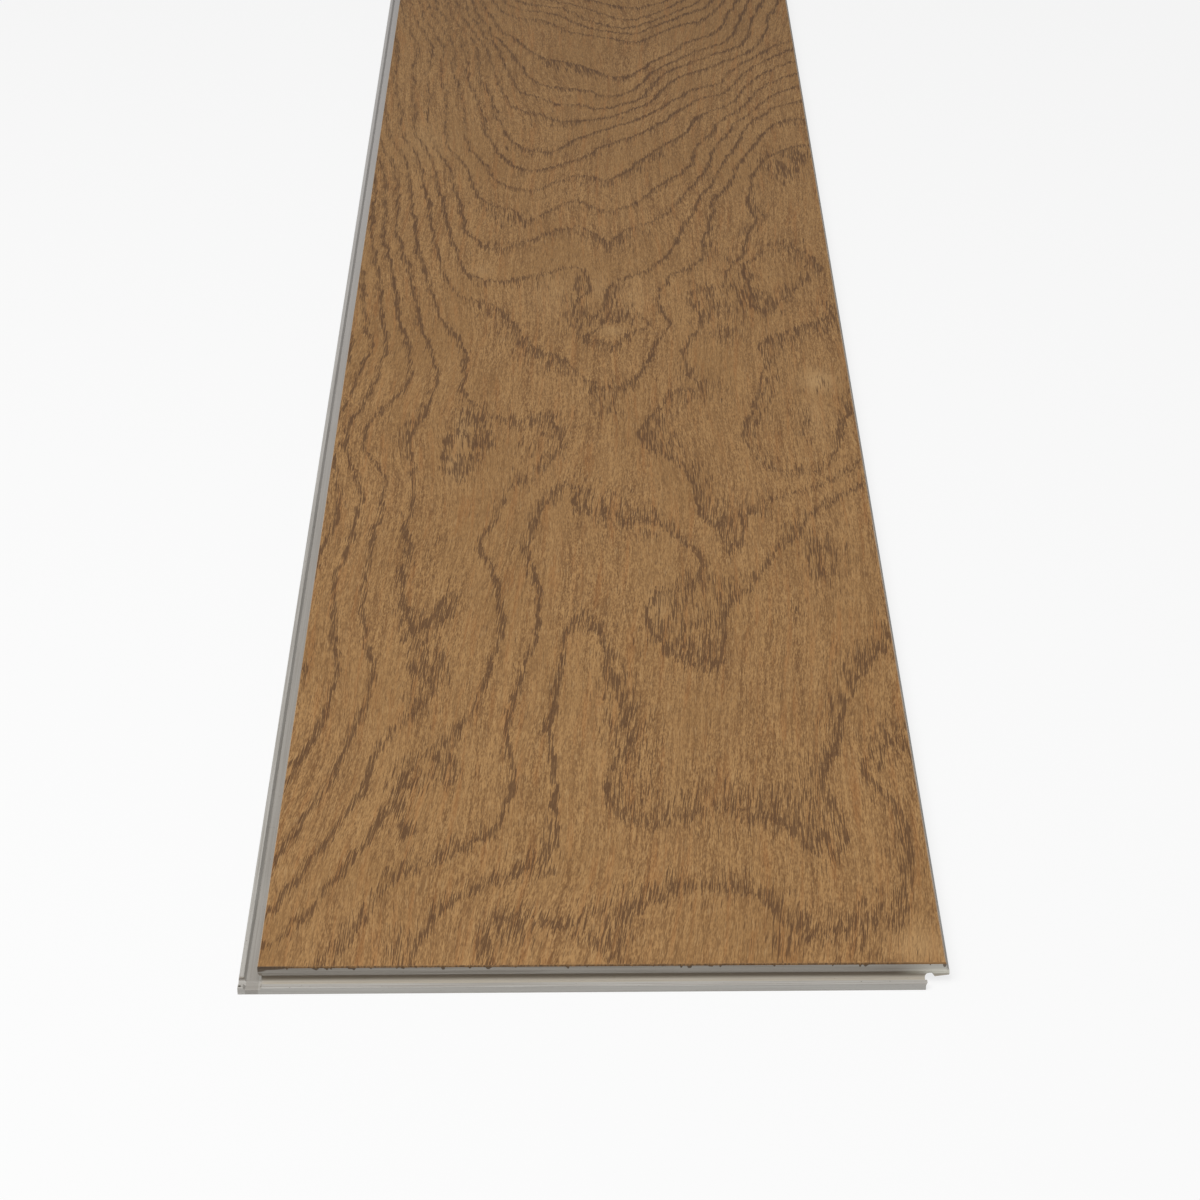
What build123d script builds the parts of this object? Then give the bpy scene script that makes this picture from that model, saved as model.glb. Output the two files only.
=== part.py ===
from build123d import *

import os
from dataclasses import dataclass
from math import radians, tan

# A click-lock floorboard: a thin oak veneer glued to a stone-polymer core board.
# The long sides are milled first and the ends after them, each cutter running right through.
# So the board is what its long section, drawn out along it, and its end section, drawn out across it,
# have in common.  +X is across the board, +Y along it and +Z up.  The origin is on the underside,
# in the middle of the area that one laid board covers.  All sizes are in millimetres.

# Board
COVER_WIDTH = 190.0  # from joint to joint across the laid floor
COVER_LENGTH = 1220.0  # from joint to joint along the laid floor
THICKNESS = 6.5  # veneer and core together
VENEER_THICKNESS = 0.6

# Top edges: bevelled over the tongues, only eased over the grooves
BEVEL_RUN = 0.5
BEVEL_INTO_CORE = 0.15  # how far the bevel goes on below the veneer
EDGE_EASE = 0.15

# Fit between a tongue and the groove of the next board
PLAY = 0.08  # clearance between faces that lock
FLOOR_GAP = 0.2  # clearance under the tongue's hook, over the channel's floor
CROWN = 0.2  # headroom over the ridge
TAIL_GAP = 0.55  # from the end of the lip to the wall behind the notch

# Milled corners
CORNER_RADIUS = 0.2
NOTCH_RADIUS = 1.3
ROUNDED_SHARE = 0.95  # most of a side that its two rounded corners may use


@dataclass
class Lock:
    """Sizes of one locking joint, measured from the joint plane outwards and from the underside up."""

    reach: float  # how far the lower lip stands out
    floor: float  # thickness of the lip under its channel
    ridge_rise: float  # height of the ridge above the channel
    ridge_top: float  # flat on top of the ridge
    lock_run: float  # slope of the ridge's locking face
    lead: float  # chamfer on the ridge's outer corner
    pocket_depth: float  # how far the pocket is cut back behind the joint plane
    pocket_rise: float  # height of the pocket's mouth above the channel
    roof_drop: float  # how far the pocket's roof falls towards its inner end
    pocket_radius: float  # rounding where the pocket's back runs out into the channel's floor
    nose_lift: float  # how far the tongue's underside rises from hook to nose, clear of that rounding

    @property
    def channel(self):
        """Width of the channel, from the joint plane to the foot of the ridge."""
        return self.reach - self.lead - self.ridge_top - self.lock_run

    @property
    def ridge(self):
        """Height of the ridge's top above the underside."""
        return self.floor + self.ridge_rise

    @property
    def mouth(self):
        """Height of the upper lip's lower corner above the underside."""
        return self.floor + self.pocket_rise


LONG_LOCK = Lock(
    reach=5.4, floor=1.45, ridge_rise=0.95, ridge_top=1.0, lock_run=0.8, lead=0.3,
    pocket_depth=0.95, pocket_rise=2.75, roof_drop=1.0, pocket_radius=0.2, nose_lift=0.4,
)
END_LOCK = Lock(
    reach=3.9, floor=1.4, ridge_rise=0.85, ridge_top=1.5, lock_run=0.4, lead=0.25,
    pocket_depth=0.55, pocket_rise=2.15, roof_drop=0.4, pocket_radius=1.0, nose_lift=0.6,
)

CORE_THICKNESS = THICKNESS - VENEER_THICKNESS
BEVEL_DROP = VENEER_THICKNESS + BEVEL_INTO_CORE
CORE_BEVEL_RUN = BEVEL_RUN * BEVEL_INTO_CORE / BEVEL_DROP


def groove_edge(lock):
    """The groove side of the core, from the top down, as (out from the joint plane, up, corner radius)."""
    return [
        (0, CORE_THICKNESS, 0),
        (0, lock.mouth, CORNER_RADIUS),
        (-lock.pocket_depth, lock.mouth - lock.roof_drop, CORNER_RADIUS),
        (-lock.pocket_depth, lock.floor, lock.pocket_radius),
        (lock.channel, lock.floor, CORNER_RADIUS),
        (lock.channel + lock.lock_run, lock.ridge, CORNER_RADIUS),
        (lock.reach - lock.lead, lock.ridge, CORNER_RADIUS),
        (lock.reach, lock.ridge - lock.lead, CORNER_RADIUS),
        (lock.reach, 0, 0),
    ]


def tongue_edge(lock):
    """The tongue side of the core, from the underside up, clear of the next board's groove by PLAY."""
    wall = -lock.reach - TAIL_GAP
    notch_top = lock.ridge + CROWN
    hook_low = lock.floor + FLOOR_GAP
    hook_tip = PLAY - lock.channel
    lock_slope = lock.lock_run / lock.ridge_rise
    nose = lock.pocket_depth - PLAY
    roof_slope = lock.roof_drop / lock.pocket_depth
    return [
        (wall, 0, 0),
        (wall, notch_top, NOTCH_RADIUS),
        (hook_tip - lock_slope * (notch_top - hook_low), notch_top, CORNER_RADIUS),
        (hook_tip, hook_low, CORNER_RADIUS),
        (nose, hook_low + lock.nose_lift, CORNER_RADIUS),
        (nose, lock.mouth - PLAY - roof_slope * nose, CORNER_RADIUS),
        (0, lock.mouth - PLAY, 0),
        (0, THICKNESS - BEVEL_DROP, 0),
        (-CORE_BEVEL_RUN, CORE_THICKNESS, 0),
    ]


def veneer_groove_edge():
    """The veneer's edge over a groove: square, with its arris eased."""
    return [(-EDGE_EASE, THICKNESS, 0), (0, THICKNESS - EDGE_EASE, 0), (0, CORE_THICKNESS, 0)]


def veneer_tongue_edge():
    """The veneer's edge over a tongue: cut by the bevel."""
    return [(-CORE_BEVEL_RUN, CORE_THICKNESS, 0), (-BEVEL_RUN, THICKNESS, 0)]


def rounded_outline(corners):
    """A closed face from (x, y, radius) corners, with radii cut down where two would overrun a side."""
    points = [Vector(x, y) for x, y, _ in corners]
    sides = [points[(i + 1) % len(points)] - point for i, point in enumerate(points)]
    # A corner of this radius takes radius / tan(half its angle) from each of its two sides.
    half_angles = [radians((-sides[i - 1]).get_angle(side)) / 2 for i, side in enumerate(sides)]
    taken = [radius / tan(half) for (_, _, radius), half in zip(corners, half_angles)]
    shares = [1.0] * len(corners)
    for i, side in enumerate(sides):
        ahead = (i + 1) % len(sides)
        if taken[i] + taken[ahead] > ROUNDED_SHARE * side.length:
            share = ROUNDED_SHARE * side.length / (taken[i] + taken[ahead])
            shares[i] = min(shares[i], share)
            shares[ahead] = min(shares[ahead], share)
    radii = [radius * share for (_, _, radius), share in zip(corners, shares)]
    return make_face(FilletPolyline(*points, radius=radii, close=True))


def section(cover, groove, tongue):
    """The section from joint to joint: groove on the negative side, tongue on the positive side."""
    left = [(-cover / 2 - out, up, radius) for out, up, radius in groove]
    right = [(cover / 2 + out, up, radius) for out, up, radius in tongue]
    return rounded_outline(left + right)


def board_layer(long_section, end_section):
    """One layer of the board: its two sections drawn out through each other.

    Where a lip crosses a tongue the cutters leave a loose sliver, which falls off.
    """
    along = extrude(Plane.XZ * long_section, amount=COVER_LENGTH, both=True)
    across = extrude(Plane.YZ * end_section, amount=COVER_WIDTH, both=True)
    return (along & across).solids().sort_by(SortBy.VOLUME)[-1]


def composite_core():
    """The core board, with a groove on the left side and near end and a tongue on the others."""
    return board_layer(
        section(COVER_WIDTH, groove_edge(LONG_LOCK), tongue_edge(LONG_LOCK)),
        section(COVER_LENGTH, groove_edge(END_LOCK), tongue_edge(END_LOCK)),
    )


def oak_veneer():
    """The sheet of oak on top of the core."""
    return board_layer(
        section(COVER_WIDTH, veneer_groove_edge(), veneer_tongue_edge()),
        section(COVER_LENGTH, veneer_groove_edge(), veneer_tongue_edge()),
    )


os.makedirs("parts", exist_ok=True)
for piece in (composite_core, oak_veneer):
    export_step(piece(), f"parts/{piece.__name__}.step")
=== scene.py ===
# A click-lock floorboard: a stained oak veneer on a grey stone-and-polymer core, lying on a pale floor.
import math

import bmesh
import bpy
import numpy as np
from mathutils import Matrix, Vector


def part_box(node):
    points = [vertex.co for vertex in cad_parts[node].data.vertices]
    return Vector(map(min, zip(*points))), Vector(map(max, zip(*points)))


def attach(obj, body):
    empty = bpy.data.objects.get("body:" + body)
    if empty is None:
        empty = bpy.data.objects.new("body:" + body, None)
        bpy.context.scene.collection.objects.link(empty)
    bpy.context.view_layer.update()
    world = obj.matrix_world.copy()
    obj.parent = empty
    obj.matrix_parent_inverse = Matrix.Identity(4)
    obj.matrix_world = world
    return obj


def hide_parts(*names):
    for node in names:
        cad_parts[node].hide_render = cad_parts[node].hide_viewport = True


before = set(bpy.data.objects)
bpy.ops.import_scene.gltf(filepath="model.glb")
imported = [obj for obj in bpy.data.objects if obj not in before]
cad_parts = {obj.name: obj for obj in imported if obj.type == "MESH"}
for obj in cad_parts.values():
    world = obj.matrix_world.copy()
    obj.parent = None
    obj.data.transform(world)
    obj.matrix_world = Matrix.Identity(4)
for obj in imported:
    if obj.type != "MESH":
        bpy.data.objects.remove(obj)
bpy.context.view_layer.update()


# The core: one rigid sheet of limestone powder bound in polymer, pressed, sawn and then milled on all
# four edges into lips, channels and tongues. It is the CAD node itself, with the finish of a milled edge:
# fine speckle, tool streaks along each edge, and brown stain that ran down from the veneer.
MM = 0.001
CORE_COLOUR = (0.285, 0.27, 0.245, 1)
CORE_PALE = (0.36, 0.347, 0.322, 1)
CORE_DARK = (0.19, 0.172, 0.15, 1)
CORE_SPECK = (0.09, 0.075, 0.06, 1)
CORE_CHIP_AND_SHADE = (0.035, 0.03, 0.02, 1)
CORE_LIT_END = (0.56, 0.54, 0.47, 1)
LIP_FAR_LIGHT = (0.38, 0.365, 0.355, 1)
POCKET_SHADE = (0.13, 0.098, 0.066, 1)
CHANNEL_LIGHT = (0.375, 0.325, 0.25, 1)
STAIN_FILM_AND_SHADE = (0.13, 0.095, 0.05, 1)
STAIN_DROP = (0.06, 0.034, 0.014, 1)
CORE_ROUGHNESS = 0.62
CORE_BUMP = 0.35
CORE_BUMP_DEPTH = 0.08 * MM

# places on the milled edges
SOFT_EDGE = 0.2 * MM
FRONT_JOINT = -610 * MM
FRONT_CHANNEL = -611.9 * MM
FRONT_LIP_NOSE = -613.7 * MM
FRONT_LIP_TOP = 2.4 * MM
LEFT_JOINT = -95 * MM
LEFT_CHANNEL = -98.4 * MM
ENDS_FROM, ENDS_FULL = 608.5 * MM, 609.5 * MM
TONGUE_END_FROM, TONGUE_END_FULL = 80 * MM, 92 * MM
POCKET_BACK = 1.2 * MM
POCKET_FLOOR, POCKET_MIDDLE, POCKET_ROOF = 1.45 * MM, 2.6 * MM, 4.3 * MM
CHANNEL_TOP = 3.4 * MM
NOSE_TOP = 1.9 * MM
UNDERSIDE_TOP = 0.03 * MM


def new_finish(name, roughness):
    finish = bpy.data.materials.new(name)
    finish.use_nodes = True
    shader = finish.node_tree.nodes["Principled BSDF"]
    shader.inputs["Roughness"].default_value = roughness
    return finish, finish.node_tree, shader


def position(tree):
    here = tree.nodes.new("ShaderNodeTexCoord").outputs["Object"]
    axes = tree.nodes.new("ShaderNodeSeparateXYZ")
    tree.links.new(here, axes.inputs[0])
    return here, axes.outputs["X"], axes.outputs["Y"], axes.outputs["Z"]


def feed(tree, socket, value):
    if isinstance(value, bpy.types.NodeSocket):
        tree.links.new(value, socket)
    else:
        socket.default_value = value


def sums(tree, operation, *values):
    made = tree.nodes.new("ShaderNodeMath")
    made.operation = operation
    for socket, value in zip(made.inputs, values):
        feed(tree, socket, value)
    return made.outputs[0]


def times(tree, *values):
    product = values[0]
    for value in values[1:]:
        product = sums(tree, "MULTIPLY", product, value)
    return product


def most(tree, *values):
    highest = values[0]
    for value in values[1:]:
        highest = sums(tree, "MAXIMUM", highest, value)
    return highest


def scaled(tree, value, factor, start):
    return sums(tree, "MULTIPLY_ADD", value, factor, start)


def rest(tree, share):
    return sums(tree, "SUBTRACT", 1.0, share)


def under(tree, value, limit):
    return sums(tree, "LESS_THAN", value, limit)


def rise(tree, value, low, high):
    # 0 up to low, 1 from high on, and smooth between them
    made = tree.nodes.new("ShaderNodeMapRange")
    made.interpolation_type = "SMOOTHSTEP"
    feed(tree, made.inputs["Value"], value)
    feed(tree, made.inputs["From Min"], low)
    feed(tree, made.inputs["From Max"], high)
    return made.outputs["Result"]


def between(tree, share, first, second):
    made = tree.nodes.new("ShaderNodeMix")
    feed(tree, made.inputs[0], share)
    feed(tree, made.inputs[2], first)
    feed(tree, made.inputs[3], second)
    return made.outputs[0]


def tint(tree, share, first, second):
    made = tree.nodes.new("ShaderNodeMix")
    made.data_type = "RGBA"
    feed(tree, made.inputs["Factor"], share)
    feed(tree, made.inputs[6], first)
    feed(tree, made.inputs[7], second)
    return made.outputs[2]


def paint(tree, colour, coat, where, strength):
    return tint(tree, sums(tree, "MULTIPLY", where, strength), colour, coat)


def grains(tree, where, size, detail=2.0, roughness=0.5, shift=0.0):
    # size is the usual width of one grain along x, y and z, in millimetres;
    # shift moves the pattern, so that no two of them run together
    moved = tree.nodes.new("ShaderNodeMapping")
    tree.links.new(where, moved.inputs["Vector"])
    moved.inputs["Scale"].default_value = [1 / (side * MM) for side in size]
    moved.inputs["Location"].default_value = (shift, 1.7 * shift, 0.6 * shift)
    noise = tree.nodes.new("ShaderNodeTexNoise")
    tree.links.new(moved.outputs["Vector"], noise.inputs["Vector"])
    noise.inputs["Scale"].default_value = 1.0
    noise.inputs["Detail"].default_value = detail
    noise.inputs["Roughness"].default_value = roughness
    return noise.outputs["Fac"]


def roughen(tree, shader, relief, strength, depth):
    bump = tree.nodes.new("ShaderNodeBump")
    bump.inputs["Strength"].default_value = strength
    bump.inputs["Distance"].default_value = depth
    tree.links.new(relief, bump.inputs["Height"])
    tree.links.new(bump.outputs["Normal"], shader.inputs["Normal"])


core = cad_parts["composite_core"]
VENEER_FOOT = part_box("composite_core")[1][2]
finish, tree, shader = new_finish("milled_core", CORE_ROUGHNESS)
here, across, along, height = position(tree)

# the cutter's streaks run along each edge, and the underside has only the broad marks of the sander
EVENNESS = 0.5
UNDERSIDE_EVENNESS = 0.15
on_end = rise(tree, sums(tree, "ABSOLUTE", along), ENDS_FROM, ENDS_FULL)
underside = under(tree, height, UNDERSIDE_TOP)
side_streaks = grains(tree, here, size=(0.35, 40, 0.3), shift=1.0)
end_streaks = grains(tree, here, size=(40, 0.35, 0.3), shift=2.0)
cutter = between(tree, on_end, side_streaks, end_streaks)
sander = grains(tree, here, size=(5, 260, 100), detail=3.0, roughness=0.55, shift=7.0)
streaks = between(tree, underside, cutter, sander)
speckle = grains(tree, here, size=(0.35, 0.35, 0.35), roughness=0.6, shift=3.0)
cloud = grains(tree, here, size=(25, 25, 6), shift=4.0)
specks = grains(tree, here, size=(0.8, 0.8, 0.6), detail=1.0, shift=5.0)
colour = tint(tree, rise(tree, streaks, 0.35, 0.65), CORE_DARK, CORE_PALE)
colour = tint(tree, scaled(tree, underside, UNDERSIDE_EVENNESS, EVENNESS), colour, CORE_COLOUR)
colour = paint(tree, colour, CORE_DARK, rise(tree, speckle, 0.55, 0.75), strength=0.35)
colour = paint(tree, colour, CORE_PALE, rise(tree, cloud, 0.4, 0.7), strength=0.25)
colour = paint(tree, colour, CORE_SPECK, rise(tree, specks, 0.74, 0.78), strength=0.8)

# the pockets behind the two grooves are painted dark as painted shade, darkest under their roofs, and the
# front channel's floor near its wall is painted paler and warmer as painted light
CORNER_FREE = 2 * MM
before_pocket_back = under(tree, along, FRONT_JOINT + POCKET_BACK)
in_front = times(tree, rise(tree, along, FRONT_JOINT, FRONT_JOINT + SOFT_EDGE), before_pocket_back)
in_left = rise(tree, across, LEFT_JOINT, LEFT_JOINT + SOFT_EDGE)
in_left = times(tree, in_left, under(tree, across, LEFT_JOINT + POCKET_BACK))
in_pocket = times(tree, rise(tree, height, POCKET_FLOOR, POCKET_MIDDLE), under(tree, height, POCKET_ROOF))
tongue_end = rise(tree, across, TONGUE_END_FROM, TONGUE_END_FULL)
pocket_shade = times(tree, most(tree, in_front, in_left), in_pocket, rest(tree, tongue_end))
# painted light: the front channel's floor near its wall is painted paler, lifting the shade there
channel_light = times(tree, before_pocket_back, under(tree, height, CHANNEL_TOP))
channel_light = times(tree, channel_light, rise(tree, along, FRONT_CHANNEL, FRONT_CHANNEL + SOFT_EDGE))
channel_light = times(tree, channel_light, rise(tree, across, LEFT_JOINT, LEFT_JOINT + CORNER_FREE))
colour = paint(tree, colour, CHANNEL_LIGHT, channel_light, strength=0.6)
# painted shade in the pockets under the grooves' roofs
colour = paint(tree, colour, POCKET_SHADE, pocket_shade, strength=0.62)

# the cut under the veneer is painted with a brown film, partly the stain's film and partly painted shade
# where the lip keeps the floor's light off it; the lip's nose and the tongue's end are painted paler, as
# painted light from the floor
FILM_AND_SHADE_FROM, FILM_AND_SHADE_FULL = 3.0 * MM, 3.6 * MM
END_LIGHT_FULL, END_LIGHT_FADED = 3.2 * MM, 5.2 * MM
END_LIGHT_LEFT = 0.3
on_front = under(tree, along, FRONT_JOINT + SOFT_EDGE)
film_and_shade = times(tree, on_front, rise(tree, height, FILM_AND_SHADE_FROM, FILM_AND_SHADE_FULL), rest(tree, tongue_end))
colour = paint(tree, colour, STAIN_FILM_AND_SHADE, film_and_shade, strength=0.22)
# painted light: the low part of the lip's front face is paler where the floor lights it
nose_light = times(tree, under(tree, height, NOSE_TOP), under(tree, along, FRONT_LIP_NOSE))
colour = paint(tree, colour, CORE_PALE, nose_light, strength=0.55)
# painted light: the tongue's front end is paler low down, where the floor lights it, and fades upwards
tongue_end_light = times(tree, tongue_end, before_pocket_back, under(tree, FRONT_LIP_TOP, height))
low_on_end = rest(tree, rise(tree, height, END_LIGHT_FULL, END_LIGHT_FADED))
tongue_end_light = times(tree, tongue_end_light, scaled(tree, low_on_end, 1 - END_LIGHT_LEFT, END_LIGHT_LEFT))
colour = tint(tree, tongue_end_light, colour, CORE_LIT_END)

# the left channel is darker than its ridge, and the whole left lip is painted paler towards the far end, a
# painted light that evens out the lamp's falloff there
FAR_LIGHT_FROM, FAR_LIGHT_FULL = -600 * MM, 200 * MM
on_left_lip = under(tree, across, LEFT_JOINT + SOFT_EDGE)
in_channel = times(tree, rise(tree, across, LEFT_CHANNEL, LEFT_CHANNEL + SOFT_EDGE), on_left_lip)
colour = paint(tree, colour, CORE_DARK, in_channel, strength=0.55)
far_lip_light = times(tree, on_left_lip, rise(tree, along, FAR_LIGHT_FROM, FAR_LIGHT_FULL))
colour = paint(tree, colour, LIP_FAR_LIGHT, far_lip_light, strength=0.75)

# stain hangs from the veneer in short drops, with a longer run at both near corners:
# each run's place across the board, half width and length, in mm
DROP_LENGTH = 0.8 * MM
DROP_EDGE = 0.15 * MM
FEWER_FROM, FEWER_FULL = -60 * MM, -20 * MM
FEWER_DROPS = 0.05
CORNER_RUNS = ((-95.2, 9.0, 0.7), (-95.2, 3.4, 1.4), (94.4, 0.6, 1.2))
RUN_STRENGTH = 0.95
drops = grains(tree, here, size=(1.7, 1.7, 40), detail=1.0, shift=6.0)
drops = scaled(tree, rise(tree, across, FEWER_FROM, FEWER_FULL), -FEWER_DROPS, drops)
drop_foot = scaled(tree, rise(tree, drops, 0.55, 0.68), -DROP_LENGTH, VENEER_FOOT)
drop_top = sums(tree, "ADD", drop_foot, DROP_EDGE)
stained = times(tree, rise(tree, drops, 0.55, 0.59), rise(tree, height, drop_foot, drop_top))
for corner, half_width, length in CORNER_RUNS:
    beside = sums(tree, "DIVIDE", sums(tree, "SUBTRACT", across, corner * MM), half_width * MM)
    below = sums(tree, "DIVIDE", sums(tree, "SUBTRACT", height, VENEER_FOOT), length * MM)
    away = sums(tree, "SQRT", sums(tree, "MULTIPLY_ADD", beside, beside, times(tree, below, below)))
    run = times(tree, rest(tree, rise(tree, away, 0.7, 1.0)), on_front, RUN_STRENGTH)
    stained = most(tree, stained, run)
colour = paint(tree, colour, STAIN_DROP, stained, strength=0.9)

# dark spots on the near left corner of the lip: the first is painted shade for the small hole behind the
# corner post, the second a small dark mark; x, y, z and size in mm
CHIP_AND_SHADE_SPOTS = ((-99.8, -613.1, 2.3, 0.55), (-94.2, -613.3, 2.2, 0.4))
for x, y, z, size in CHIP_AND_SHADE_SPOTS:
    away = tree.nodes.new("ShaderNodeVectorMath")
    away.operation = "DISTANCE"
    tree.links.new(here, away.inputs[0])
    away.inputs[1].default_value = (x * MM, y * MM, z * MM)
    dark_spot = rest(tree, rise(tree, away.outputs["Value"], 0.5 * size * MM, size * MM))
    colour = tint(tree, dark_spot, colour, CORE_CHIP_AND_SHADE)
tree.links.new(colour, shader.inputs["Base Color"])
relief = sums(tree, "ADD", times(tree, cutter, rest(tree, underside)), speckle)
roughen(tree, shader, relief, CORE_BUMP, CORE_BUMP_DEPTH)
core.material_slots[0].link = "OBJECT"
core.material_slots[0].material = finish


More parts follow.
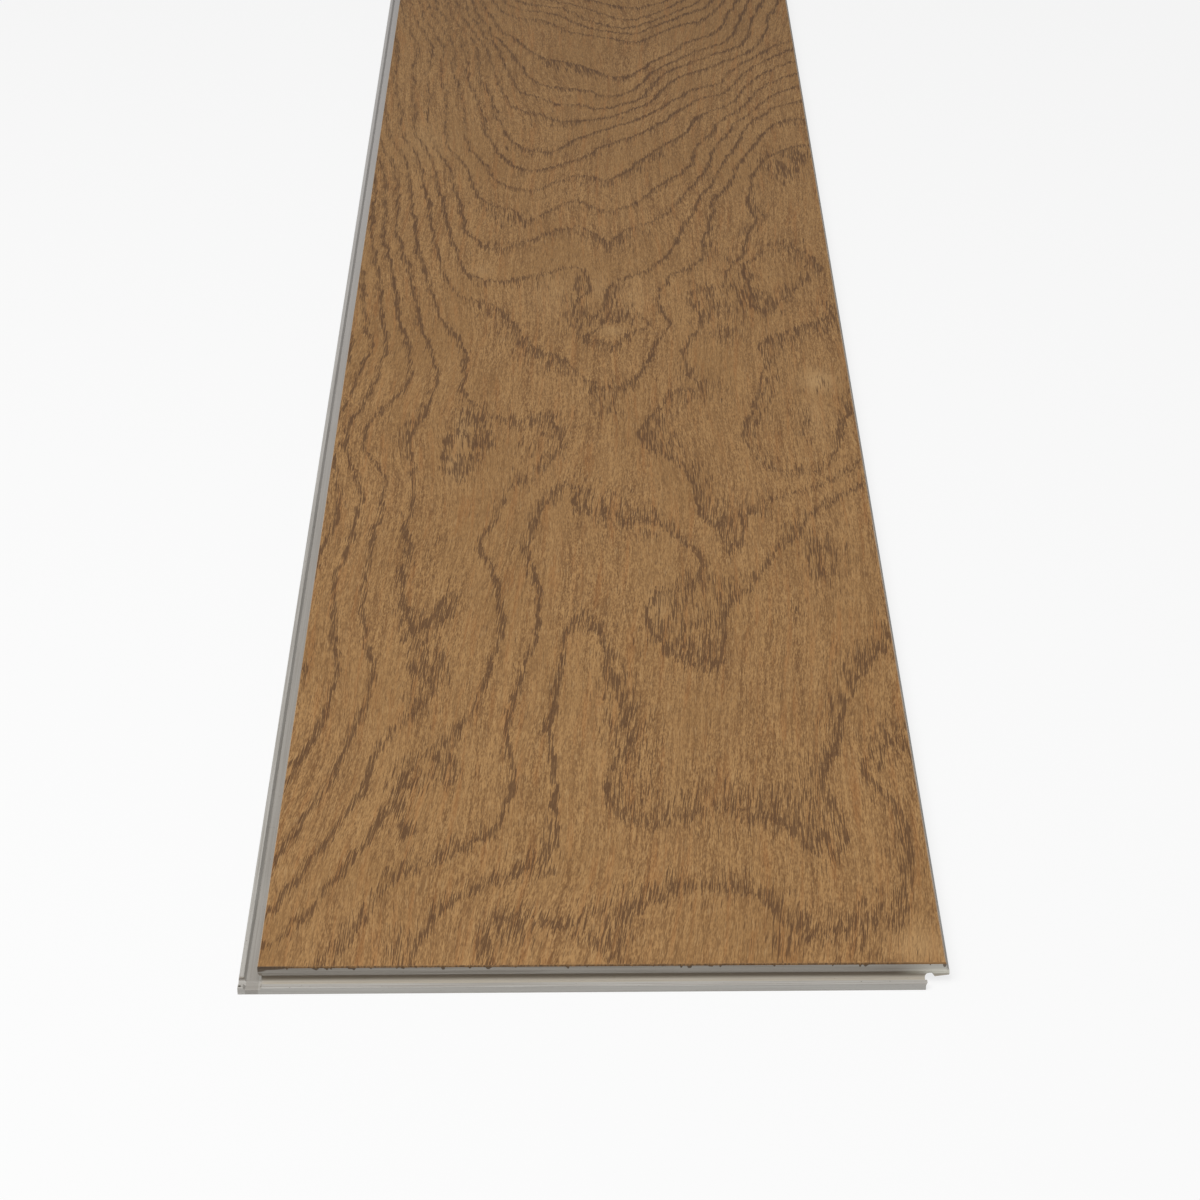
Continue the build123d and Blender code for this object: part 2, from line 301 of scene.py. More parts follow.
# The veneer: a sliced leaf of oak, glued to the core, brushed, stained brown and oiled matt. It is cut
# flat through the tree's growth layers, so its figure is a contour map of them: each line is the row of
# open pores that one spring left. The rings are listed as read from the board, in mm on its face.
GROWTH_RINGS = (
    (1, ((9, 206), (18, 201), (27, 205), (36, 212))),
    (2, ((-18, 212), (-4, 201), (7, 190), (19, 184), (28, 190), (43, 211))),
    (3, ((-34, 209), (-17, 202), (-2, 183), (9, 174), (20, 173), (34, 187), (50, 208))),
    (4, ((-34, 200), (-18, 192), (-10, 181), (9, 167), (19, 163), (30, 175), (45, 191), (57, 208))),
    (5, ((-38, 188), (-28, 186), (-15, 172), (3, 160), (15, 153), (27, 158), (40, 173), (62, 204))),
    (6, ((-53, 204), (-46, 175), (-33, 146), (-16, 125), (2, 109), (13, 103), (22, 112), (36, 135),
        (48, 154), (61, 169), (68, 200))),
    (7, ((-58, 200), (-49, 165), (-38, 134), (-32, 110), (-20, 90), (-3, 85), (4, 78), (13, 80),
        (22, 93), (33, 117), (46, 135), (60, 148), (69, 172), (76, 208))),
    (8, ((-62, 203), (-54, 172), (-43, 132), (-36, 92), (-24, 76), (-18, 69), (-8, 67), (4, 61),
        (20, 72), (31, 104), (45, 122), (60, 136), (72, 152), (81, 202))),
    (9, ((-66, 204), (-52, 150), (-44, 100), (-37, 65), (-23, 54), (-16, 46), (3, 49), (18, 61),
        (30, 82), (42, 105), (58, 120), (72, 135), (83, 175), (89, 203))),
    (10, ((-70, 202), (-57, 150), (-52, 100), (-43, 51), (-38, 26), (-28, 9), (-17, 9), (-9, 21),
        (7, 36), (25, 54), (40, 77), (58, 94), (67, 116), (83, 142), (94, 152))),
    (11, ((-76, 202), (-62, 150), (-58, 102), (-50, 55), (-46, 24), (-39, 0), (-25, -14), (-12, -6),
        (6, 17), (21, 30), (34, 51), (47, 72), (62, 88), (72, 112), (87, 134), (95, 141))),
    (12, ((-80, 204), (-67, 150), (-62, 97), (-58, 55), (-55, 15), (-45, -17), (-27, -37), (-12, -23),
        (-3, -21), (4, -26), (15, -12), (28, 11), (40, 30), (51, 56), (64, 70), (74, 98), (95, 123))),
    (13, ((-84, 203), (-72, 150), (-71, 100), (-67, 55), (-64, 11), (-54, -14), (-49, -44), (-35, -58),
        (-27, -71), (-19, -59), (-7, -49), (3, -61), (13, -57), (27, -33), (41, -9), (50, 25), (62, 53),
        (75, 84), (95, 107))),
    (14, ((-89, 203), (-77, 150), (-77, 100), (-75, 52), (-68, 8), (-60, -35), (-54, -80), (-47, -96),
        (-30, -95), (-19, -84), (-6, -79), (1, -87), (4, -97), (8, -90), (14, -79), (23, -74), (29, -65),
        (35, -52), (46, -22), (53, 12), (67, 48), (83, 78), (95, 90))),
    (15, ((-93, 203), (-83, 150), (-83, 100), (-80, 52), (-72, 6), (-66, -38), (-60, -82), (-53, -124),
        (-46, -133), (-30, -132), (-17, -125), (-7, -121), (-4, -130), (-6, -152), (-3, -172), (1, -166),
        (5, -146), (9, -135), (15, -129), (23, -122), (28, -112), (33, -96), (37, -77), (48, -38),
        (59, 4), (70, 42), (82, 62), (95, 71))),
    (15, ((-4, -188), (1, -181), (11, -174), (20, -178), (13, -188), (3, -196))),
    (16, ((-93, 150), (-92, 100), (-87, 45), (-77, 2), (-70, -48), (-64, -104), (-58, -140), (-46, -155),
        (-33, -172), (-28, -190), (-12, -211), (-5, -227), (5, -236), (14, -229), (20, -210), (24, -191),
        (28, -181), (26, -166), (33, -128), (44, -95), (51, -47), (62, -10), (74, 24), (81, 41), (95, 46))),
    (17, ((-93, 50), (-83, 0), (-77, -55), (-70, -115), (-61, -170), (-51, -200), (-50, -238),
        (-43, -253), (-31, -265), (-22, -259), (-13, -280), (-18, -300), (-33, -325), (-36, -345),
        (-40, -366), (-33, -398), (-35, -445), (-43, -482), (-44, -503), (-47, -516), (-50, -511),
        (-53, -500), (-58, -506), (-63, -528), (-76, -566), (-94, -602))),
    (17, ((95, 14), (80, 5), (70, -14), (67, -68), (58, -115), (52, -138), (40, -144), (37, -153),
        (41, -175), (34, -222), (39, -237), (27, -242), (15, -280), (32, -306), (36, -340), (45, -366),
        (52, -340), (65, -327), (82, -314), (95, -297))),
    (18, ((-92, 12), (-84, -38), (-80, -98), (-71, -152), (-62, -208), (-60, -230), (-68, -282),
        (-66, -350), (-64, -402), (-53, -412), (-47, -403))),
    (18, ((-60, -425), (-57, -450), (-59, -475), (-71, -519), (-95, -584))),
    (18, ((-54, -275), (-55, -302), (-49, -312), (-44, -300), (-45, -275))),
    (18, ((95, -168), (84, -178), (72, -188), (64, -215), (55, -265), (58, -297), (70, -309), (80, -305),
        (88, -280), (95, -251))),
    (18, ((60, -120), (67, -109), (86, -109), (90, -118), (80, -142), (69, -164), (62, -158))),
    (19, ((-92, -10), (-88, -70), (-80, -140), (-72, -200), (-70, -228), (-84, -270), (-84, -285),
        (-75, -310), (-78, -395), (-72, -448), (-80, -506), (-95, -559))),
    (20, ((-93, -40), (-88, -118), (-82, -185), (-82, -215), (-91, -275), (-84, -315), (-88, -398),
        (-84, -440), (-95, -518))),
    (21, ((-94, -125), (-86, -200), (-95, -262))),
    (21, ((-95, -292), (-90, -330), (-95, -378))),
    (16, ((-12, -317), (-19, -333), (-24, -366), (-20, -392), (-20, -425), (-28, -475), (-27, -505),
        (-32, -542), (-46, -556), (-60, -568), (-75, -609))),
    (16, ((-8, -331), (8, -347), (20, -345), (34, -368), (18, -398), (17, -423), (36, -447), (40, -420),
        (59, -370), (75, -338), (95, -316))),
    (15, ((-54, -612), (-46, -584), (-24, -565), (-15, -555), (-14, -530), (-14, -505), (-15, -478),
        (-13, -450), (-11, -424), (-3, -419), (2, -432), (5, -458), (8, -480), (3, -508), (14, -539),
        (29, -531), (56, -541), (67, -557), (71, -535), (72, -495), (80, -459), (95, -425))),
    (14, ((-30, -612), (-31, -590), (-14, -591), (3, -608), (9, -584), (28, -571), (46, -579),
        (52, -592), (62, -597), (78, -589), (84, -592), (88, -570), (90, -550), (80, -508), (86, -497),
        (95, -503))),
    (16.6, ((0, -280),)),
    (17.5, ((50, -230), (-25, -285), (-42, -372))),
    (14.7, ((8, -184),)),
    (18.2, ((-49, -290),)),
    (17.8, ((-61, -285), (-61, -310), (-60, -345), (-59, -385), (80, -166), (46, -200))),
    (18.5, ((76, -240), (80, -205), (75, -128), (92, -220))),
    (15.6, ((40, -480), (66, -385), (88, -390))),
    (15.97, ((75, -372), (72, -394))),
    (15.5, ((0, -385), (62, -440))),
    (14.5, ((-5, -500), (30, -556), (62, -575), (80, -540), (-42, -600))),
    (13.95, ((83, -600), (82, -609))),
    (13.6, ((28, -600), (93, -595), (-20, -603), (72, -607))),
    (16.5, ((-33, -520), (-52, -540))),
    (15.3, ((-1, -177),)),
    (17.7, ((-55, -323),)),
    (17.95, ((-50, -440), (-50, -462), (-53, -338), (-54, -366), (-50, -385))),
    (-2, ((18, 282), (-16, 400), (46, 400), (-27, 600), (57, 600))),
    (0, ((18, 224), (-13, 300), (48, 300), (-28, 400), (56, 400), (-37, 600), (65, 600))),
    (2, ((-27, 300), (59, 300), (-38, 400), (65, 400), (-47, 600), (73, 600))),
    (4, ((-40, 300), (68, 300), (-48, 400), (73, 400), (-57, 600), (81, 600))),
    (6, ((-58, 300), (77, 300), (-62, 400), (83, 400), (-70, 600), (91, 600))),
    (8, ((-67, 300), (87, 300), (-70, 400), (93, 400), (-78, 600))),
    (10, ((-76, 300), (-79, 400), (-86, 600), (96, 300))),
    (12, ((-85, 300), (-89, 400), (-94, 600))),
    (-4, ((16, 372), (-15, 600), (46, 600))),
    (-6, ((14, 510), (0, 600), (30, 600))),
)

VENEER_LOW, VENEER_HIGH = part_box("oak_veneer")
FACE_EASE = 0.15 * MM
FACE_BEVEL = 0.4 * MM
CELL_ACROSS = 2.5 * MM
CELL_ALONG = 3.75 * MM
TOUCHING = 0.01 * MM

face_left = VENEER_LOW[0] + FACE_EASE
face_right = VENEER_HIGH[0] - FACE_BEVEL
face_front = VENEER_LOW[1] + FACE_EASE
face_back = VENEER_HIGH[1] - FACE_BEVEL

leaf = bmesh.new()
bmesh.ops.create_grid(
    leaf,
    x_segments=round((face_right - face_left) / CELL_ACROSS),
    y_segments=round((face_back - face_front) / CELL_ALONG),
    size=0.5,
)
bmesh.ops.scale(leaf, vec=(face_right - face_left, face_back - face_front, 1), verts=leaf.verts)
middle = Vector(((face_left + face_right) / 2, (face_front + face_back) / 2, VENEER_HIGH[2]))
bmesh.ops.translate(leaf, vec=middle, verts=leaf.verts)


def turn_down(edges, to_height, edge_lines):
    # carries the leaf's rim down to the next height, out to the four lines of its edges
    grown = bmesh.ops.extrude_edge_only(leaf, edges=edges)["geom"]
    rim = [part for part in grown if isinstance(part, bmesh.types.BMVert)]
    xs = [point.co.x for point in rim]
    ys = [point.co.y for point in rim]
    ends = min(xs), max(xs), min(ys), max(ys)
    for point in rim:
        for axis, end, line in zip((0, 0, 1, 1), ends, edge_lines):
            if abs(point.co[axis] - end) < TOUCHING:
                point.co[axis] = line
        point.co.z = to_height
    return [part for part in grown if isinstance(part, bmesh.types.BMEdge)]


foot_lines = VENEER_LOW[0], VENEER_HIGH[0], VENEER_LOW[1], VENEER_HIGH[1]
arris_lines = VENEER_LOW[0], VENEER_HIGH[0] - FACE_BEVEL / 4, VENEER_LOW[1], VENEER_HIGH[1] - FACE_BEVEL / 4
rim = [edge for edge in leaf.edges if edge.is_boundary]
rim = turn_down(rim, VENEER_HIGH[2] - FACE_EASE, arris_lines)
rim = turn_down(rim, VENEER_LOW[2], foot_lines)
bmesh.ops.edgeloop_fill(leaf, edges=rim)
bmesh.ops.recalc_face_normals(leaf, faces=leaf.faces)

# the face keeps the first material, and the cut edges take the second and third
END_CUT, SIDE_CUT = 1, 2
FACING = 0.4
for part in leaf.faces:
    if abs(part.normal.y) > FACING:
        part.material_index = END_CUT
    elif abs(part.normal.x) > FACING:
        part.material_index = SIDE_CUT
veneer_mesh = bpy.data.meshes.new("oak_leaf")
leaf.to_mesh(veneer_mesh)
leaf.free()
veneer = bpy.data.objects.new("oak_leaf", veneer_mesh)
bpy.context.scene.collection.objects.link(veneer)

# a smooth sheet through the listed rings gives every place on the face its growth layer
RING_SCALE = 0.01
GRAIN_STRETCH = 0.6
RING_SOFTNESS = 1e-4
TINY = 1e-12
BATCH = 8000
ring_points = np.array([(x, y, ring) for ring, line in GROWTH_RINGS for x, y in line], float)
stretch = np.array((RING_SCALE, RING_SCALE * GRAIN_STRETCH))
knots = ring_points[:, :2] * stretch


def thin_plate(places):
    away = ((places[:, None] - knots[None]) ** 2).sum(-1)
    return 0.5 * away * np.log(np.maximum(away, TINY))


count = len(knots)
equations = np.zeros((count + 3, count + 3))
equations[:count, :count] = thin_plate(knots) + RING_SOFTNESS * np.eye(count)
equations[:count, count] = 1
equations[:count, count + 1:] = knots
equations[count:, :count] = equations[:count, count:].T
weights = np.linalg.solve(equations, np.append(ring_points[:, 2], np.zeros(3)))


def ring_at(places):
    near = places * stretch
    parts = []
    for start in range(0, len(near), BATCH):
        some = near[start:start + BATCH]
        parts.append(thin_plate(some) @ weights[:count] + weights[count] + some @ weights[count + 1:])
    return np.concatenate(parts)


def store(name, values):
    layer = veneer_mesh.attributes.new(name, "FLOAT", "POINT")
    layer.data.foreach_set("value", values.astype(np.float32))


SLOPE_STEP = 1.5
corners = np.empty(len(veneer_mesh.vertices) * 3)
veneer_mesh.vertices.foreach_get("co", corners)
on_face = corners.reshape(-1, 3)[:, :2] / MM
step_x, step_y = np.array((SLOPE_STEP, 0)), np.array((0, SLOPE_STEP))
slope_x = (ring_at(on_face + step_x) - ring_at(on_face - step_x)) / (2 * SLOPE_STEP)
slope_y = (ring_at(on_face + step_y) - ring_at(on_face - step_y)) / (2 * SLOPE_STEP)
slopes = np.stack((slope_x, slope_y, np.zeros(len(on_face))), 1)
store("growth_ring", ring_at(on_face))
slope_layer = veneer_mesh.attributes.new("ring_slope", "FLOAT_VECTOR", "POINT")
slope_layer.data.foreach_set("vector", slopes.astype(np.float32).ravel())

# spots on the face: x, y, half width and half height in mm, and strength;
# first the crowds of open pores away from the ring lines, then clear wood, then pale wood
PORE_CROWDS = (
    (-58, -512, 6, 10, 0.8), (-47, -509, 3.5, 10, 0.9), (-61, -528, 4, 12, 0.8),
    (-57, -540, 2.5, 6, 1.0), (12, -522, 9, 17, 0.6), (30, -528, 10, 16, 0.6), (50, -531, 12, 15, 0.65),
    (66, -545, 5, 15, 0.7), (-18, -560, 7, 9, 0.7), (-25, -592, 8, 9, 0.7), (-57, -600, 4, 11, 0.6),
    (5, -597, 4, 14, 0.6), (25, -572, 17, 8, 0.6), (50, -600, 6, 10, 0.6), (72, -598, 13, 10, 0.5),
    (85, -580, 4, 25, 0.5), (85, -503, 5, 8, 0.7), (88, -535, 3.5, 20, 0.5), (-36, -604, 3, 7, 0.5),
    (64, -515, 5, 14, 0.4), (-57, -418, 6, 11, 0.9), (-52, -446, 5, 15, 0.85), (-57, -475, 3, 15, 0.6),
    (-5, -418, 6, 9, 0.7), (4, -450, 4, 18, 0.6), (6, -487, 6, 17, 0.55), (25, -413, 11, 16, 0.55),
    (34, -440, 6, 9, 0.7), (63, -407, 4, 10, 0.6), (88, -490, 6, 15, 0.65), (-95, -445, 3, 18, 0.6),
    (75, -450, 4, 20, 0.4), (10, -342, 13, 8, 0.65), (-6, -335, 5, 6, 0.6), (-14, -325, 4, 9, 0.6),
    (57, -332, 5, 13, 0.6), (45, -358, 6, 9, 0.5), (75, -375, 7, 22, 0.8), (30, -391, 6, 12, 0.65),
    (-50, -385, 2.5, 8, 0.7), (-55, -362, 2.5, 10, 0.5), (-66, -376, 4, 24, 0.5), (17, -354, 4, 8, 0.5),
    (85, -365, 4, 18, 0.4), (-46, -261, 7, 12, 0.95), (-40, -279, 4, 16, 0.8), (-48, -300, 5, 13, 0.9),
    (-31, -263, 5, 8, 0.75), (-18, -262, 4, 5, 0.8), (-14, -280, 2.6, 16, 0.8),
    (-20, -301, 2.8, 10, 0.85), (-25.5, -311, 3, 8, 1.0), (-24, -285, 6, 14, 0.5),
    (70, -306, 8, 2.6, 0.7), (62, -297, 3, 6, 0.6), (-18, -213, 7, 10, 0.65), (3, -250, 6, 17, 0.6),
    (33, -242, 9, 6, 0.6), (45, -235, 6, 6, 0.6), (33, -227, 3, 14, 0.5), (18, -281, 4, 12, 0.55),
    (61, -250, 3, 22, 0.45), (75, -264, 6, 24, 0.45), (85, -232, 3, 10, 0.5), (67, -195, 3.5, 10, 0.6),
    (-4, -187, 3.5, 9, 0.5), (58, -150, 10, 26, 0.72), (45, -156, 8, 24, 0.58), (50, -186, 9, 14, 0.5),
    (37.5, -154, 2.2, 10, 0.7), (44, -142, 6, 2.6, 0.6), (60, -132, 5, 8, 0.75),
    (70, -160, 2.6, 12, 0.7), (76, -100, 9, 9, 0.6), (75, -152, 5, 13, 0.6), (66, -168, 5, 8, 0.5),
    (92, -165, 4, 15, 0.6), (-5, -165, 3, 14, 0.85), (-7, -140, 2.2, 22, 0.8), (4, -152, 2.0, 14, 0.65),
    (9, -141, 4, 8, 0.7), (-3, -179, 3, 8, 0.7), (9, -174, 7, 2.6, 0.75), (3.5, -196, 4.5, 2.6, 0.8),
    (-1.5, -187, 2.2, 6, 0.8), (14, -179, 3, 3, 0.5), (-5, -131, 2.2, 13, 0.5), (44, -170, 5, 11, 0.55),
    (-38, -95, 11, 5, 0.5), (66, -62, 2.5, 25, 0.5), (62, -86, 4, 11, 0.5), (54, -112, 5, 15, 0.4),
    (82, -12, 11, 20, 0.85), (90, 0, 8, 12, 0.8), (74, -8, 5, 14, 0.65), (68, -45, 2.4, 18, 0.6),
    (-18, 9, 7, 7, 0.55), (-32, 11, 9, 5, 0.6), (-25, 50, 12, 4, 0.6), (-5, 46, 12, 4, 0.6),
    (10, 50, 8, 4, 0.5), (-46, -53, 6, 8, 0.5), (-32, -67, 9, 6, 0.5), (5, 17, 4, 8, 0.5),
    (-27, 55, 6, 5, 0.5), (95, 45, 12, 4, 0.5), (90, 5, 6, 12, 0.5),
)
CLEAR_SPOTS = (
    (-14, -138, 10, 16, 0.9), (-22, -150, 8, 12, 0.7), (25, -372, 8, 8, 0.6), (30, -150, 6, 20, 0.5),
    (14, -146, 7, 14, 0.8), (6.5, -184, 7, 6, 1.0), (-16, -165, 5, 12, 0.7), (30, -402, 10, 14, 0.5),
    (32, -262, 8, 18, 0.6), (-4, -313, 9, 8, 0.8),
)
PALE_SPOTS = (
    (83, -231, 6, 10, 0.8), (6.5, -184, 5, 4.5, 0.45), (-18, -148, 9, 24, 0.26), (14, -150, 8, 20, 0.22),
    (1, -142, 3, 12, 0.35), (-49, -272, 2, 14, 0.6), (-51, -300, 1.8, 14, 0.6), (-46, -124, 4, 7, 0.4),
    (88, -602, 8, 9, 0.5), (80, -262, 4, 22, 0.3), (20, -405, 3, 12, 0.4), (-75, 20, 12, 25, 0.3),
)


def spots_at(spots):
    total = np.zeros(len(on_face))
    for x, y, half_width, half_height, strength in spots:
        away = ((on_face[:, 0] - x) / half_width) ** 2 + ((on_face[:, 1] - y) / half_height) ** 2
        total = np.maximum(total, strength * np.exp(-away))
    return total


store("pore_crowd", spots_at(PORE_CROWDS))
store("clear_wood", spots_at(CLEAR_SPOTS))
store("pale_wood", spots_at(PALE_SPOTS))

OAK_LIGHT = (0.30, 0.167, 0.062, 1)
OAK_MIDDLE = (0.205, 0.106, 0.034, 1)
OAK_DARK = (0.135, 0.063, 0.019, 1)
OAK_FLECK = (0.36, 0.22, 0.095, 1)
OAK_WARM = (0.25, 0.103, 0.027, 1)
OAK_PORE = (0.062, 0.026, 0.008, 1)
OAK_ROUGHNESS = 0.55
OAK_SHINE = 0.25
OAK_BUMP = 0.5
OAK_BUMP_DEPTH = 0.1 * MM

finish, tree, shader = new_finish("stained_oak_face", OAK_ROUGHNESS)
shader.inputs["Specular IOR Level"].default_value = OAK_SHINE
here, across, along, height = position(tree)


def joined(tree, first, second):
    made = tree.nodes.new("ShaderNodeCombineXYZ")
    tree.links.new(first, made.inputs["X"])
    tree.links.new(second, made.inputs["Y"])
    return made.outputs[0]


def stored(tree, name, output="Fac"):
    made = tree.nodes.new("ShaderNodeAttribute")
    made.attribute_name = name
    return made.outputs[output]


# the grain opens out towards the far end, leans over at the near end and sways a little
OPENS_FROM, OPENS_FULL = -50 * MM, 330 * MM
OPENING = 0.22
LEANS_BEFORE = -150 * MM
LEAN = 0.08
SWAY = 0.016
opening = rest(tree, times(tree, rise(tree, along, OPENS_FROM, OPENS_FULL), OPENING))
near_part = sums(tree, "MINIMUM", sums(tree, "SUBTRACT", along, LEANS_BEFORE), 0.0)
lean = times(tree, near_part, near_part, LEAN)
sway = times(tree, grains(tree, here, size=(60, 150, 100), detail=1.0, shift=10.0), SWAY)
grain_across = sums(tree, "MULTIPLY_ADD", across, opening, sums(tree, "ADD", lean, sway))
with_grain = joined(tree, grain_across, along)

# the ring lines are drawn out into teeth along the grain and wander by a few mm
TEETH = 20.0
FAR_TEETH = 9.0
WIGGLE = 4.0
FAR_FROM, FAR_FULL = -250 * MM, 50 * MM
slope = stored(tree, "ring_slope", "Vector")
steep = tree.nodes.new("ShaderNodeVectorMath")
steep.operation = "LENGTH"
tree.links.new(slope, steep.inputs[0])
steepness = steep.outputs["Value"]
flatness = rest(tree, rise(tree, steepness, 0.03, 0.11))
far = rise(tree, along, FAR_FROM, FAR_FULL)
teeth = grains(tree, with_grain, size=(0.5, 13, 100), roughness=0.6, shift=11.0)
wiggle_across = grains(tree, here, size=(7, 9, 100), detail=1.0, shift=12.0)
wiggle_along = grains(tree, here, size=(6, 10, 100), detail=1.0, shift=18.0)
shift_across = times(tree, sums(tree, "SUBTRACT", wiggle_across, 0.5), WIGGLE)
shift_along = times(tree, sums(tree, "SUBTRACT", wiggle_along, 0.5), WIGGLE)
teeth_now = scaled(tree, far, FAR_TEETH - TEETH, TEETH)
shift_along = scaled(tree, sums(tree, "SUBTRACT", teeth, 0.5), teeth_now, shift_along)
wandered = tree.nodes.new("ShaderNodeVectorMath")
wandered.operation = "DOT_PRODUCT"
tree.links.new(slope, wandered.inputs[0])
tree.links.new(joined(tree, shift_across, shift_along), wandered.inputs[1])
ring = sums(tree, "ADD", stored(tree, "growth_ring"), wandered.outputs["Value"])

# pores open at a ring's edge and thin out over the wood that grew after it
FLATTEST = 0.012
NEAR_LINE, FAR_LINE = 2.2, 1.5
LINE_FULL = 0.3
LINE_NARROWS_FROM, LINE_NARROWS_TO = -550 * MM, -250 * MM
LINE_PORES = 0.335
FRINGE_PORES = 0.29
CROWD_PORES = 0.43
FRINGE_SHARE = 0.10
FLAT_FRINGE_SHARE = 0.4
FRINGE_WIDTH = 3.0
FADE_FROM, FADE_FULL = -100 * MM, 60 * MM
LEFT_FROM, LEFT_TO = -70 * MM, 0.0
season = sums(tree, "FRACT", ring)
from_edge = sums(tree, "MINIMUM", season, rest(tree, season))
from_edge = sums(tree, "DIVIDE", from_edge, most(tree, steepness, FLATTEST))
line_reach = rise(tree, along, LINE_NARROWS_FROM, LINE_NARROWS_TO)
line_reach = scaled(tree, line_reach, FAR_LINE - NEAR_LINE, NEAR_LINE)
line = rest(tree, rise(tree, from_edge, LINE_FULL, line_reach))
fringe_end = scaled(tree, flatness, FLAT_FRINGE_SHARE, FRINGE_SHARE)
fringe_end = most(tree, fringe_end, times(tree, steepness, FRINGE_WIDTH))
clump = rise(tree, grains(tree, with_grain, size=(1.8, 16, 100), detail=1.0, shift=23.0), 0.35, 0.6)
fringe = times(tree, rest(tree, rise(tree, season, 0.0, fringe_end)), scaled(tree, clump, 0.4, 0.6))
fringe = times(tree, fringe, rest(tree, stored(tree, "clear_wood")))
gathered = times(tree, stored(tree, "pore_crowd"), scaled(tree, clump, 0.5, 0.6))
vigour = grains(tree, here, size=(22, 40, 100), shift=19.0)
vigour = scaled(tree, rise(tree, vigour, 0.35, 0.62), 0.25, 0.75)
on_left = rest(tree, rise(tree, across, LEFT_FROM, LEFT_TO))
far_left = times(tree, on_left, rise(tree, along, FADE_FROM, FADE_FULL))
faded = scaled(tree, far_left, 0.30, times(tree, far, 0.06))
vigour = times(tree, vigour, rest(tree, faded))
crowd = most(tree, times(tree, line, LINE_PORES), times(tree, fringe, FRINGE_PORES))
crowd = most(tree, crowd, times(tree, gathered, CROWD_PORES))

# a pore is a short dark slit along the grain, and a crowd lowers the bar for it to open
PORE_BAR = 0.70
PORE_EDGE = 0.05
pores = grains(tree, with_grain, size=(0.34, 9, 100), detail=1.0, shift=13.0)
bar = sums(tree, "SUBTRACT", PORE_BAR, times(tree, crowd, vigour))
pore = rise(tree, pores, bar, sums(tree, "ADD", bar, PORE_EDGE))
dashes = grains(tree, with_grain, size=(0.36, 4, 100), detail=1.0, shift=21.0)

# the wood between the pores: fibres, broad bands, blotches of stain, warm streaks and pale flecks
SAND_SHARE = 1.3
fine_fibre = grains(tree, with_grain, size=(0.42, 4.8, 100), roughness=0.6, shift=14.0)
long_fibre = grains(tree, with_grain, size=(1.2, 34, 100), roughness=0.6, shift=22.0)
sand = grains(tree, with_grain, size=(0.30, 1.7, 100), detail=1.0, shift=24.0)
fibre = scaled(tree, sand, SAND_SHARE, sums(tree, "ADD", fine_fibre, long_fibre))
band = grains(tree, with_grain, size=(5, 170, 100), shift=15.0)
blotch = grains(tree, here, size=(35, 80, 100), shift=16.0)
fleck = grains(tree, with_grain, size=(0.45, 7, 100), detail=1.0, shift=17.0)
warm = grains(tree, with_grain, size=(2.2, 45, 100), shift=20.0)
colour = tint(tree, rise(tree, fibre, 1.30, 2.04), OAK_DARK, OAK_LIGHT)
colour = paint(tree, colour, OAK_LIGHT, rise(tree, band, 0.35, 0.7), strength=0.35)
colour = paint(tree, colour, OAK_MIDDLE, rise(tree, blotch, 0.42, 0.7), strength=0.5)
colour = paint(tree, colour, OAK_WARM, rise(tree, warm, 0.5, 0.72), strength=0.35)
colour = paint(tree, colour, OAK_FLECK, rise(tree, fleck, 0.60, 0.70), strength=0.4)
colour = tint(tree, stored(tree, "pale_wood"), colour, OAK_FLECK)
colour = paint(tree, colour, OAK_PORE, rise(tree, dashes, 0.55, 0.64), strength=0.30)
colour = paint(tree, colour, OAK_PORE, pore, strength=0.76)
colour = paint(tree, colour, OAK_PORE, times(tree, line, vigour, far), strength=0.28)
tree.links.new(colour, shader.inputs["Base Color"])
roughen(tree, shader, sums(tree, "SUBTRACT", fibre, pores), OAK_BUMP, OAK_BUMP_DEPTH)
veneer_mesh.materials.append(finish)

# the end cut is dark end grain with paler rays, soaked with stain at its left end, and painted pale at its
# right end as painted light
END_GRAIN = (0.085, 0.039, 0.008, 1)
END_GRAIN_PALE_AND_LIT = (0.20, 0.10, 0.028, 1)
END_GRAIN_SOAKED = (0.04, 0.024, 0.011, 1)
END_ROUGHNESS = 0.7
RIGHT_LIGHT_FROM, RIGHT_LIGHT_FULL = 78 * MM, 90 * MM
SOAKED_FULL, SOAKED_TO = -93 * MM, -82 * MM
finish, tree, shader = new_finish("veneer_end_cut", END_ROUGHNESS)
here, across, along, height = position(tree)
rays = grains(tree, here, size=(0.5, 0.5, 3), roughness=0.6, shift=21.0)
rays_and_right_light = most(tree, rise(tree, rays, 0.35, 0.7), rise(tree, across, RIGHT_LIGHT_FROM, RIGHT_LIGHT_FULL))
colour = tint(tree, rays_and_right_light, END_GRAIN, END_GRAIN_PALE_AND_LIT)
soaked = rest(tree, rise(tree, across, SOAKED_FULL, SOAKED_TO))
colour = paint(tree, colour, END_GRAIN_SOAKED, soaked, strength=0.85)
tree.links.new(colour, shader.inputs["Base Color"])
veneer_mesh.materials.append(finish)

# the side cut shows long pale fibres
SIDE_GRAIN = (0.36, 0.27, 0.19, 1)
SIDE_GRAIN_DARK = (0.25, 0.16, 0.09, 1)
SIDE_ROUGHNESS = 0.65
finish, tree, shader = new_finish("veneer_side_cut", SIDE_ROUGHNESS)
here, across, along, height = position(tree)
fibres = grains(tree, here, size=(0.4, 25, 0.2), roughness=0.6, shift=22.0)
colour = tint(tree, rise(tree, fibres, 0.35, 0.7), SIDE_GRAIN_DARK, SIDE_GRAIN)
tree.links.new(colour, shader.inputs["Base Color"])
veneer_mesh.materials.append(finish)
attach(veneer, "root")
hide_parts("oak_veneer")


# The studio: a wide white floor under the board, an even white surround and one large soft lamp over the
# near end, with a long lens looking down the board from in front.
FLOOR_HALF = 6.0
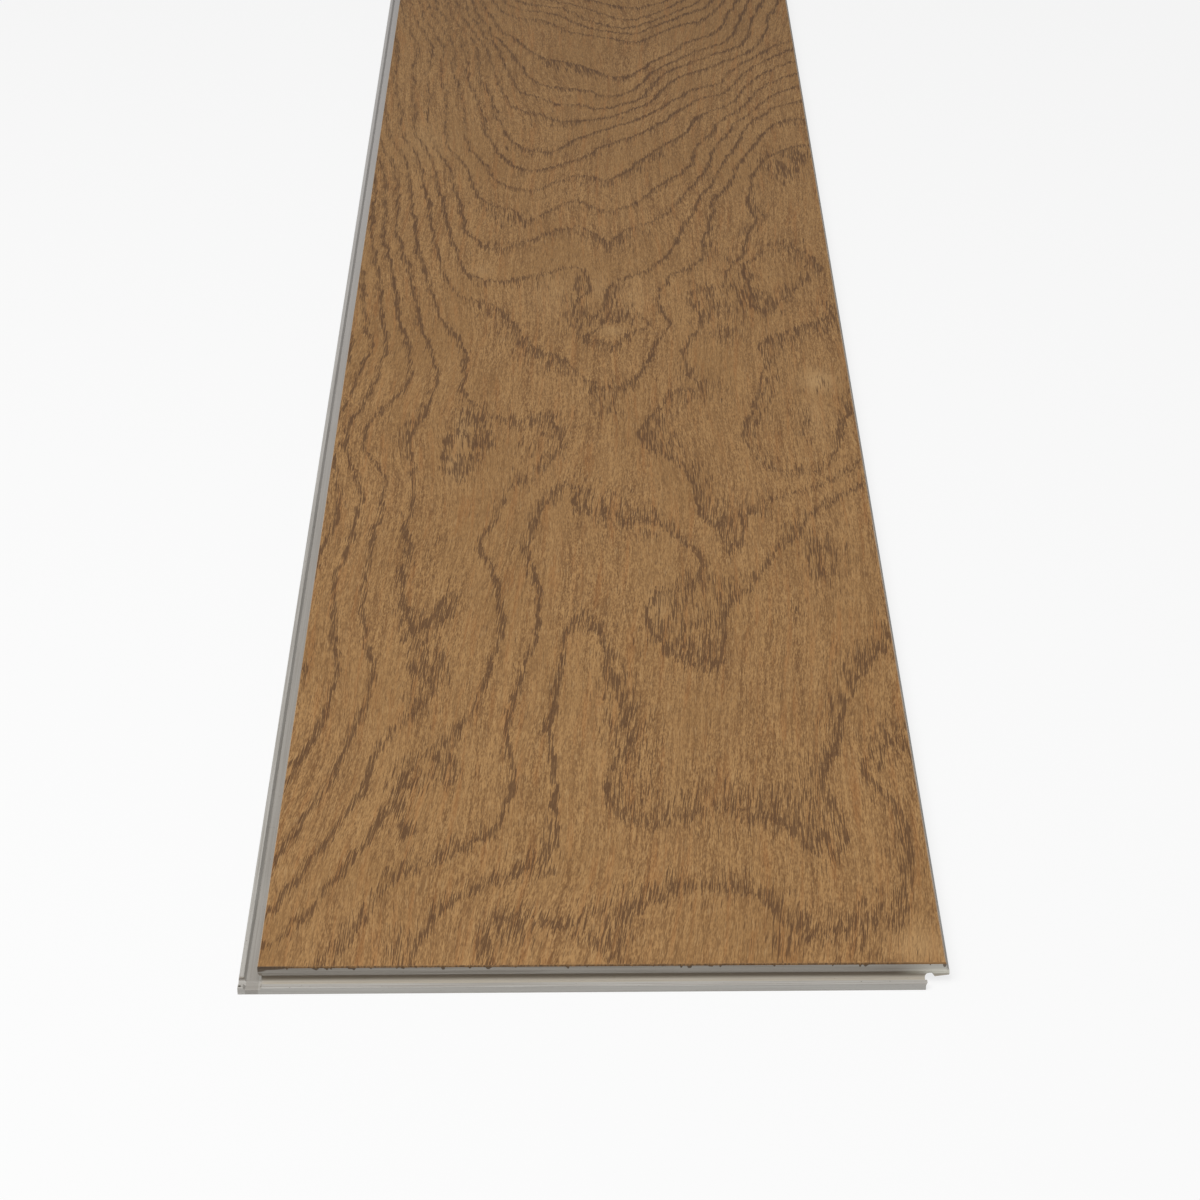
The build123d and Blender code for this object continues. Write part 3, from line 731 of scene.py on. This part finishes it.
# a hair above the underside, so that the two never share a plane
FLOOR_LEVEL = 0.03 * MM
FLOOR_COLOUR = (0.86, 0.86, 0.86, 1)
FLOOR_GLOW = 0.92
GLOW_SHARE = 0.85
WHITE = (1, 1, 1, 1)
SURROUND = 0.42

slab = bmesh.new()
bmesh.ops.create_grid(slab, x_segments=1, y_segments=1, size=FLOOR_HALF)
bmesh.ops.translate(slab, vec=(0, 0, FLOOR_LEVEL), verts=slab.verts)
floor_mesh = bpy.data.meshes.new("studio_floor")
slab.to_mesh(floor_mesh)
slab.free()
floor = bpy.data.objects.new("studio_floor", floor_mesh)
bpy.context.scene.collection.objects.link(floor)
finish = bpy.data.materials.new("white_floor")
finish.use_nodes = True
tree = finish.node_tree
tree.nodes.clear()
out = tree.nodes.new("ShaderNodeOutputMaterial")
matt = tree.nodes.new("ShaderNodeBsdfDiffuse")
matt.inputs["Color"].default_value = FLOOR_COLOUR
glow = tree.nodes.new("ShaderNodeEmission")
glow.inputs["Color"].default_value = WHITE
glow.inputs["Strength"].default_value = FLOOR_GLOW
ray = tree.nodes.new("ShaderNodeLightPath")
seen = most(tree, *(ray.outputs[f"Is {kind} Ray"] for kind in ("Camera", "Glossy", "Transmission")))
surface = tree.nodes.new("ShaderNodeMixShader")
tree.links.new(times(tree, seen, GLOW_SHARE), surface.inputs[0])
tree.links.new(matt.outputs[0], surface.inputs[1])
tree.links.new(glow.outputs[0], surface.inputs[2])
tree.links.new(surface.outputs[0], out.inputs["Surface"])
floor_mesh.materials.append(finish)

scene = bpy.context.scene
scene.view_settings.view_transform = "Standard"
world = bpy.data.worlds.new("surround")
world.use_nodes = True
world.node_tree.nodes["Background"].inputs["Color"].default_value = WHITE
world.node_tree.nodes["Background"].inputs["Strength"].default_value = SURROUND
scene.world = world

LAMP_PLACE = Vector((-0.45, -0.85, 1.5))
LAMP_AIM = Vector((0, -0.5, 0))
LAMP_WIDTH = 1.2
LAMP_POWER = 31.0
lamp_data = bpy.data.lights.new("softbox", "AREA")
lamp_data.shape = "SQUARE"
lamp_data.size = LAMP_WIDTH
lamp_data.energy = LAMP_POWER
lamp = bpy.data.objects.new("softbox", lamp_data)
lamp_turn = (LAMP_AIM - LAMP_PLACE).to_track_quat("-Z", "Y").to_matrix().to_4x4()
lamp.matrix_world = Matrix.Translation(LAMP_PLACE) @ lamp_turn
scene.collection.objects.link(lamp)

CAMERA_PLACE = Vector((-1.99, -1366.86, 535.39)) * MM
CAMERA_YAW = math.radians(0.1435)
CAMERA_PITCH = math.radians(28.7046)
CAMERA_ROLL = math.radians(-0.2989)
LENS = 100.0
SENSOR = 36.0
NEAREST = 0.01
forward = Vector((
    math.sin(CAMERA_YAW) * math.cos(CAMERA_PITCH),
    math.cos(CAMERA_YAW) * math.cos(CAMERA_PITCH),
    -math.sin(CAMERA_PITCH),
))
right = Vector((math.cos(CAMERA_YAW), -math.sin(CAMERA_YAW), 0))
up = right.cross(forward)
turned_right = math.cos(CAMERA_ROLL) * right + math.sin(CAMERA_ROLL) * up
turned_up = math.cos(CAMERA_ROLL) * up - math.sin(CAMERA_ROLL) * right
camera_data = bpy.data.cameras.new("long_lens")
camera_data.lens = LENS
camera_data.sensor_width = SENSOR
camera_data.clip_start = NEAREST
camera = bpy.data.objects.new("long_lens", camera_data)
camera_turn = Matrix((turned_right, turned_up, -forward)).transposed().to_4x4()
camera.matrix_world = Matrix.Translation(CAMERA_PLACE) @ camera_turn
scene.collection.objects.link(camera)
scene.camera = camera
